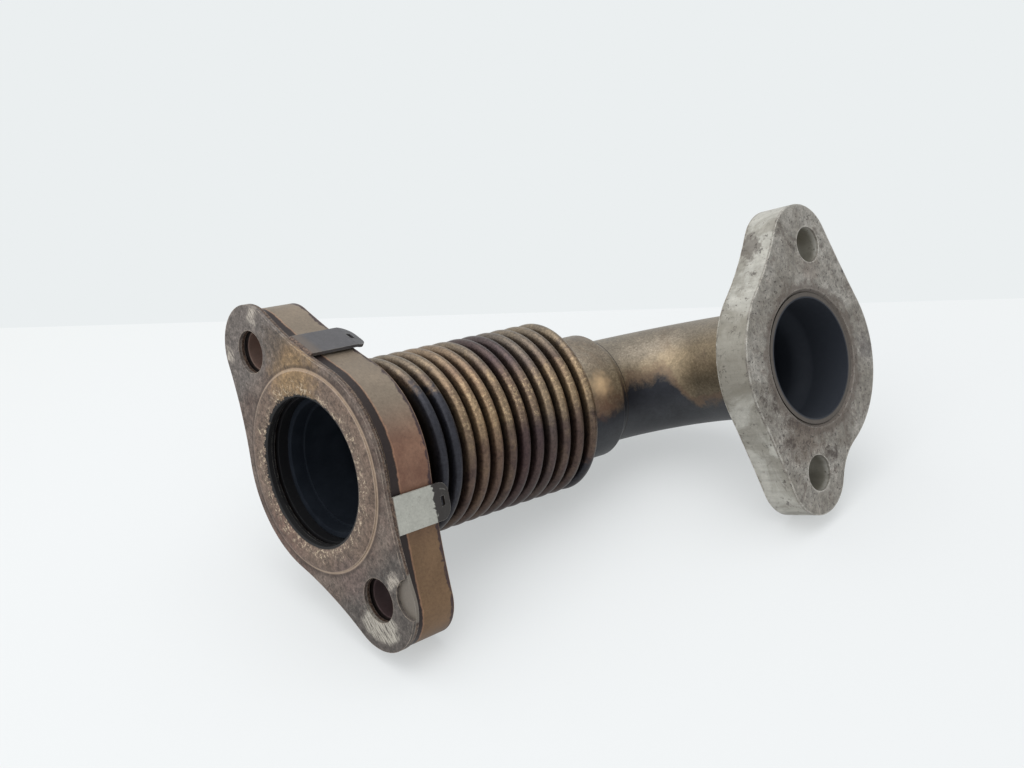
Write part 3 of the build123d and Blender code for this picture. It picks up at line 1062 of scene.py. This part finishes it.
def bellows_steel():
    """Tan and olive crests, each stained its own way, with painted light and glints above and
    painted shade below, over valleys painted dark as shade.
    """
    material, tree = new_material("bellows_steel")
    rise = attribute(tree, "rise")
    number = attribute(tree, "crest_number")
    place = local_place(tree, route)
    up = facing_up(tree)
    height = maths("DIVIDE", parts_of(object_place(tree))[2], mm)
    lift = times(parts_of(place)[1], -1.0)
    shifted = put(tree, "CombineXYZ", {2: times(number, 17.0)}).outputs[0]
    own = vector_maths("ADD", place, shifted)  # each crest has noise of its own
    broad = noise(own, 0.085, 5, 0.6, 0.4)
    patches = noise(own, 0.22, 6, 0.68, 0.5)
    grain = noise(place, 1.5, 5, 0.72, 0.2)
    crest = patched(broad, 0.38, 0.62, (88, 72, 64), (118, 101, 82))
    crest = tint(crest, ramp(patches, 0.50, 0.62), (58, 46, 46), 0.8)
    crest = tint(crest, ramp(patches, 0.45, 0.34), (150, 128, 98), 0.55)
    # Painted light: the top of each crest is painted lighter, as if lit from above.
    crest = tint(crest, ramp(lift, 12.0, 21.0), (134, 121, 103), 0.65)
    for centre, reach, hue, share in (
        (6.3, 1.5, (62, 47, 53), 0.8),
        (8.0, 1.3, (80, 76, 78), 0.45),
        (3.2, 1.6, (136, 108, 84), 0.35),
    ):
        crest = tint(crest, near_crest(number, centre, reach), hue, share)
    # Painted shade: the lower side of the crests is painted darker.
    crest = tint(crest, ramp(lift, 2.0, -10.0), (70, 54, 51), 0.6)
    # Painted highlight: a golden band a little above the crests' middle, with painted glints near
    # their tops.
    lit = band(lift, -3.0, 4.0, 8.0, 16.0)
    crest = tint(crest, lit, (150, 127, 96), 0.35)
    painted_glints = ramp(noise(place, 1.1, 4, 0.8, 0.1), 0.50, 0.64)
    painted_glints = times(times(painted_glints, lit), ramp(rise, 0.75, 0.95))
    crest = tint(crest, painted_glints, (200, 176, 140), 0.55)
    # Near-black low on the first crests, below a height that drops crest by crest, and on the
    # bottom of the last crests.
    first_dark = plus(height, times(number, 1.4))
    near_black_low = ramp(ragged_run(first_dark, place, 0.3, 9.0), 51.5, 49.0)
    near_black_low = times(near_black_low, near_crest(number, 0.3, 1.9))
    last_dark = ramp(ragged_run(height, place, 0.3, 8.0), 18.0, 15.0)
    near_black_low = maths("MAXIMUM", near_black_low, times(last_dark, ramp(number, 10.0, 10.8)))
    crest = tint(crest, near_black_low, (48, 48, 54))
    crest = mottle(crest, (grain, 0.56, 1.42))
    # Painted shade: surfaces facing down are painted darker.
    under = ramp(up, 0.0, -0.7)
    crest = tint(crest, under, (62, 54, 50), 0.5)
    # Painted shade: the valleys between the crests are painted dark, as shade in the creases.
    valley = patched(broad, 0.4, 0.6, (30, 25, 23), (52, 42, 36))
    border = ragged_run(rise, place, 0.45, 0.34)
    coat = blend(ramp(border, 0.26, 0.74), valley, crest)
    rough = plus(0.20, times(grain, 0.36))
    return finish(material, coat, rough, 0.72, grain, 0.2, 0.2 * mm)


hand_over(bellows, "bellows", bellows_steel())


# Sleeve and outlet pipe: the sleeve steps the bellows down to the pipe and is brazed on it.
# Both are tan with heat on top and charcoal below, partly soot and partly painted shade; the pipe
# is bent from one tube.

sleeve_wall = 0.8 * mm
collar_length = 15.0 * mm
shoulder_start = 11.6 * mm
shoulder_length = 3.0 * mm
lip_inset = 0.35 * mm
lip_height = 0.5 * mm
rim_inset = 0.25 * mm
rim_height = 0.15 * mm
inside_cone = 2.0 * mm
pipe_radius = 14.1 * mm
pipe_wall = 1.4 * mm
swage_radius = 16.6 * mm
swage_cone = 6.0 * mm
swage_seat = 1.5 * mm
outlet_thickness = 9.5 * mm
mouth_recess = 0.5 * mm
elbow_steps = 40


def eased_cone(low_radius, high_radius, low, high, steps=10):
    """A taper with rounded ends, as a spun reducer has."""
    shares = [step / steps for step in range(steps + 1)]
    grow = high_radius - low_radius
    return [(low_radius + grow * s * s * (3 - 2 * s), low + (high - low) * s) for s in shares]


sleeve_outer = rear_cuff + sleeve_wall
collar_outer = pipe_radius + sleeve_wall
sleeve_outside = [
    (sleeve_outer - lip_inset, 0),
    (sleeve_outer, lip_height),
    *eased_cone(sleeve_outer, collar_outer, shoulder_start, shoulder_start + shoulder_length),
    (collar_outer, collar_length - rim_height),
    (collar_outer - rim_inset, collar_length),
]
sleeve_inside = [
    (pipe_radius, collar_length),
    (pipe_radius, sleeve_length),
    (rear_cuff, sleeve_length - inside_cone),
    (rear_cuff, 0),
]
sleeve = turned("end_sleeve_collar", sleeve_outside + sleeve_inside)
smooth(sleeve, sharp_edge)
seat(sleeve, sleeve_place)

swage_low = outlet_run - outlet_thickness - swage_seat - swage_cone
swage_high = swage_low + swage_cone
pipe_end = outlet_run - mouth_recess
lead = pipe_overlap + pipe_lead

pipe = open_tube("outlet_pipe_tube", [(pipe_radius, 0), (pipe_radius, lead)], round_sides)
bpy.ops.mesh.spin(
    steps=elbow_steps, angle=-pipe_bend, center=(bend_radius, 0, lead), axis=(0, 1, 0),
    use_auto_merge=False,
)
bend_end = Vector((bend_radius * (1 - cos(pipe_bend)), 0, lead + bend_radius * sin(pipe_bend)))
run_way = Vector((sin(pipe_bend), 0, cos(pipe_bend)))
draw_rings([
    (pipe_radius, 0.0),
    (pipe_radius, swage_low / 2),
    *eased_cone(pipe_radius, swage_radius, swage_low, swage_high, 8),
    (swage_radius, pipe_end),
], bend_end, run_way)
close_mesh()
outer_points = len(pipe.data.vertices)
apply_modifier(pipe, "SOLIDIFY", thickness=pipe_wall, offset=-1)
inside = pipe.data.attributes.new("inside", "FLOAT", "POINT")
for vertex in pipe.data.vertices:
    inside.data[vertex.index].value = float(vertex.index >= outer_points)
smooth(pipe, sharp_edge)
seat(pipe, pipe_place)


def heat_tinted_tube(name):
    """Grey-tan and gold above with painted highlights, bluish charcoal below, partly soot and
    partly painted shade, with the seam of the collar drawn dark.
    """
    material, tree = new_material(name)
    place = local_place(tree, sleeve_place)
    ahead = parts_of(place)[2]
    past_bend = parts_of(local_place(tree, elbow_end))[2]
    up = facing_up(tree)
    broad = noise(place, 0.07, 5, 0.6, 0.6)
    small = noise(place, 0.32, 6, 0.68, 0.4)
    grain = noise(place, 1.8, 5, 0.7)
    coat = patched(up, 0.62, 0.95, (126, 111, 89), (126, 116, 102))
    coat = tint(coat, ramp(broad, 0.50, 0.66), (110, 94, 78), 0.6)
    low_run = times(ramp(past_bend, -6.0, 0.0), ramp(up, 0.50, 0.10))
    coat = tint(coat, low_run, (100, 90, 74), 0.8)
    coat = mottle(coat, (small, 0.80, 1.14), (grain, 0.72, 1.22))
    beyond_collar = ramp(ahead, 13.0, 17.0)
    border = minus(plus(up, 0.18), times(beyond_collar, 0.30))
    border = plus(border, times(ramp(past_bend, -9.0, -2.0), 0.80))
    border = ragged_run(ragged_run(border, place, 0.13, 0.3), place, 0.6, 0.4)
    rust = band(border, 0.30, 0.42, 0.50, 0.62)
    coat = tint(coat, rust, (100, 80, 66), 0.7)
    # Bluish charcoal below the border: partly soot, partly painted shade.
    deep = patched(up, 0.3, -0.3, (37, 38, 44), (58, 59, 62))
    deep = mottle(deep, (small, 0.8, 1.25))
    coat = blend(ramp(border, 0.52, 0.28), coat, deep)
    coat = stained(coat, place, ((16.0, 0.8, 5.4), 6.0, 2.0, 0.9, (112, 78, 60), 0.5))
    # Painted highlight: broad golden streaks along the top of the pipe, where a lamp's reflection
    # lies.
    for centre, reach, share in (((19.7, -5.6, 27.9), 6.5, 0.42), ((16.4, -5.6, 22.0), 5.5, 0.2)):
        painted_highlight = times(stain(place, centre, reach, 1.6, 1.0), ramp(small, 0.30, 0.56))
        coat = tint(coat, painted_highlight, (172, 153, 124), share)
    # Painted highlight: a bright golden spot on the front of the collar.
    coat = stained(coat, place, ((15.6, -3.4, 5.8), 4.6, 1.2, 1.0, (224, 190, 148), 0.7))
    from_seam = maths("ABSOLUTE", minus(ahead, collar_length / mm))
    coat = tint(coat, ramp(from_seam, 0.55, 0.25), (44, 37, 33), 0.85)
    coat, relief = weathered(coat, 1.4, 0.6, 0.15, ((70, 60, 52), 0.5))
    rough = plus(0.34, times(small, 0.22))
    rim = ramp(parts_of(local_place(tree, outlet))[2], -1.3, -1.0)
    coat = tint(coat, rim, (88, 81, 75))
    coat = mottle(coat, (grain, 0.86, 1.12))
    inside = ramp(attribute(tree, "inside"), 0.55, 0.9)
    coat = tint(coat, inside, (30, 35, 44))
    rough = plus(rough, times(inside, 0.35))
    metal = times(minus(1.0, inside), 0.6)
    return finish(material, coat, rough, metal, relief, 0.15)


sleeve_finish = heat_tinted_tube("sleeve_tint")
hand_over(sleeve, "end_sleeve", sleeve_finish)
hand_over(pipe, "outlet_pipe", heat_tinted_tube("pipe_tint"))
hand_over(cuff_ring, "cuff_ring", sleeve_finish)


# Outlet flange: a steel casting, its face ground flat and its side left pale and rough.
# Each ear has one straight side and one stepped side; the pipe's end is welded in from behind.

outlet_hole_half = 28.8 * mm
outlet_waist = 26.0 * mm
outlet_ears = [
    (27.6 * mm, 2.4 * mm, 11.2 * mm, 400 * mm, 68 * mm),
    (-28.5 * mm, 0.6 * mm, 10.8 * mm, 400 * mm, 16 * mm),
]
mouth_chamfer = 0.9 * mm
outlet_weld_leg = 1.5 * mm
pilot_radius = swage_radius - 2 * mm
tool_inside = pilot_radius - mm
tool_low = -outlet_thickness - mm

outlet_flange = outline_plate(
    "outlet_flange_casting", outlet_waist, outlet_ears, -outlet_thickness, 0
)
drill(outlet_flange, pilot_radius, -outlet_thickness, 0)
mouth = turned("mouth_tool", [
    (tool_inside, mm),
    (swage_radius + mouth_chamfer + mm, mm),
    (swage_radius, -mouth_chamfer),
    (swage_radius, tool_low),
    (tool_inside, tool_low),
])
combine(outlet_flange, mouth)
drill_bolts(outlet_flange, bolt_radius, -outlet_thickness, 0, outlet_hole_half)
soften_edges(outlet_flange, 0.8 * mm, 4)
seat(outlet_flange, outlet)


def cast_flange_steel():
    """Silver-grey ground face with fine pits and a bright worn rim; cream-grey cast side."""
    material, tree = new_material("cast_flange_steel")
    place = local_place(tree, outlet)
    x, y, z = parts_of(place)
    broad = noise(place, 0.09, 6, 0.62, 0.7)
    middling = noise(place, 0.4, 6, 0.68, 0.4)
    grain = noise(place, 1.8, 5, 0.72, 0.2)
    streaks = noise(stretched(place, (1.0, 1.0, 0.12)), 0.9, 5, 0.7)
    side = patched(broad, 0.4, 0.6, (148, 144, 134), (184, 181, 172))
    side = mottle(side, (streaks, 0.84, 1.08), (grain, 0.90, 1.06))
    from_middle = maths("ABSOLUTE", x)
    blots = ramp(noise(place, 0.3, 5, 0.7, 0.5), 0.60, 0.72)
    side = tint(side, times(blots, ramp(from_middle, 18.0, 30.0)), (96, 88, 80), 0.6)
    side = stained(side, place, ((27.5, 14.0, -7.0), 4.5, 2.0, 0.5, (92, 84, 76), 0.7))
    waist = ramp(ragged_run(from_middle, place, 0.2, 9.0), 15.0, 6.0)
    side = tint(side, waist, (130, 124, 111), 0.55)
    rear_edge = ramp(ragged_run(z, place, 0.5, 2.5), -8.9, -9.5)
    side = tint(side, rear_edge, (96, 86, 74), 0.6)
    face = patched(broad, 0.36, 0.64, (127, 121, 112), (157, 152, 144))
    face = stained(face, place, ((-19.0, 6.0, 0), 12.0, 3.0, 0.8, (98, 83, 70), 0.7))
    clouds = ramp(noise(place, 0.2, 6, 0.7, 0.8), 0.52, 0.64)
    face = tint(face, clouds, (92, 81, 73), 0.6)
    face = stained(
        face, place,
        ((4.0, -23.0, 0), 5.0, 2.0, 0.7, (96, 90, 88), 0.6),
        ((23.0, 0.0, 0), 6.0, 2.5, 0.8, (124, 112, 102), 0.5),
    )
    face = mottle(face, (middling, 0.76, 1.18), (grain, 0.74, 1.22))
    face = mottle(face, (noise(place, 0.8, 5, 0.75, 0.4), 0.78, 1.20))
    on_face = ramp(z, -0.9, -0.3)
    coat = blend(on_face, side, face)
    radius = across_axis(x, y)
    ring = times(ramp(ragged_run(radius, place, 0.3, 8.0), 20.4, 18.4), on_face)
    coat = tint(coat, ring, (84, 72, 64), 0.65)
    coat = tint(coat, ramp(radius, 17.6, 17.1), (84, 76, 70), 0.8)
    specks = ramp(noise(place, 0.75, 5, 0.7, 0.4), 0.56, 0.64)
    crowd = ramp(noise(place, 0.12, 4, 0.6, 0.4), 0.40, 0.60)
    coat = tint(coat, times(specks, crowd), (66, 58, 54), 0.8)
    dots = ramp(noise(place, 1.2, 3, 0.6, 0.2), 0.61, 0.67)
    dots = times(dots, maths("MAXIMUM", times(on_face, 0.8), crowd))
    coat = tint(coat, times(dots, plus(0.35, on_face)), (58, 51, 48), 0.85)
    hollows = ramp(middling, 0.44, 0.60)
    for centre, reach in (((-19.0, 9.0, 0), 8.5), ((-12.0, 17.5, 0), 6.5), ((-24.0, -6.0, 0), 5.5)):
        pitted = times(stain(place, centre, reach, 3.0, 0.8), hollows)
        coat = tint(coat, times(pitted, on_face), (62, 52, 47), 0.85)
    coat, relief = weathered(coat, 1.7, 0.9, 0.4, ((66, 60, 57), 0.8), ((202, 199, 190), 0.7))
    coat = edge_worn(coat, 0.8 * mm, 0.9, (216, 213, 203), 0.8)
    for hole_x in (outlet_hole_half, -outlet_hole_half):
        in_hole = ramp(from_hole(x, y, hole_x), bolt_radius / mm + 0.3, bolt_radius / mm)
        deep = times(in_hole, ramp(z, -0.8, -2.5))
        coat = tint(coat, deep, (122, 118, 106), 0.8)
    rough = plus(0.38, times(middling, 0.25))
    return finish(material, coat, rough, 0.45, relief, 0.4)


hand_over(outlet_flange, "outlet_flange", cast_flange_steel())
outlet_weld = weld_bead(
    "outlet_weld_bead", swage_radius, outlet_weld_leg, -outlet_thickness, -1, 34, outlet
)
hand_over(outlet_weld, "outlet_weld", bead_metal)
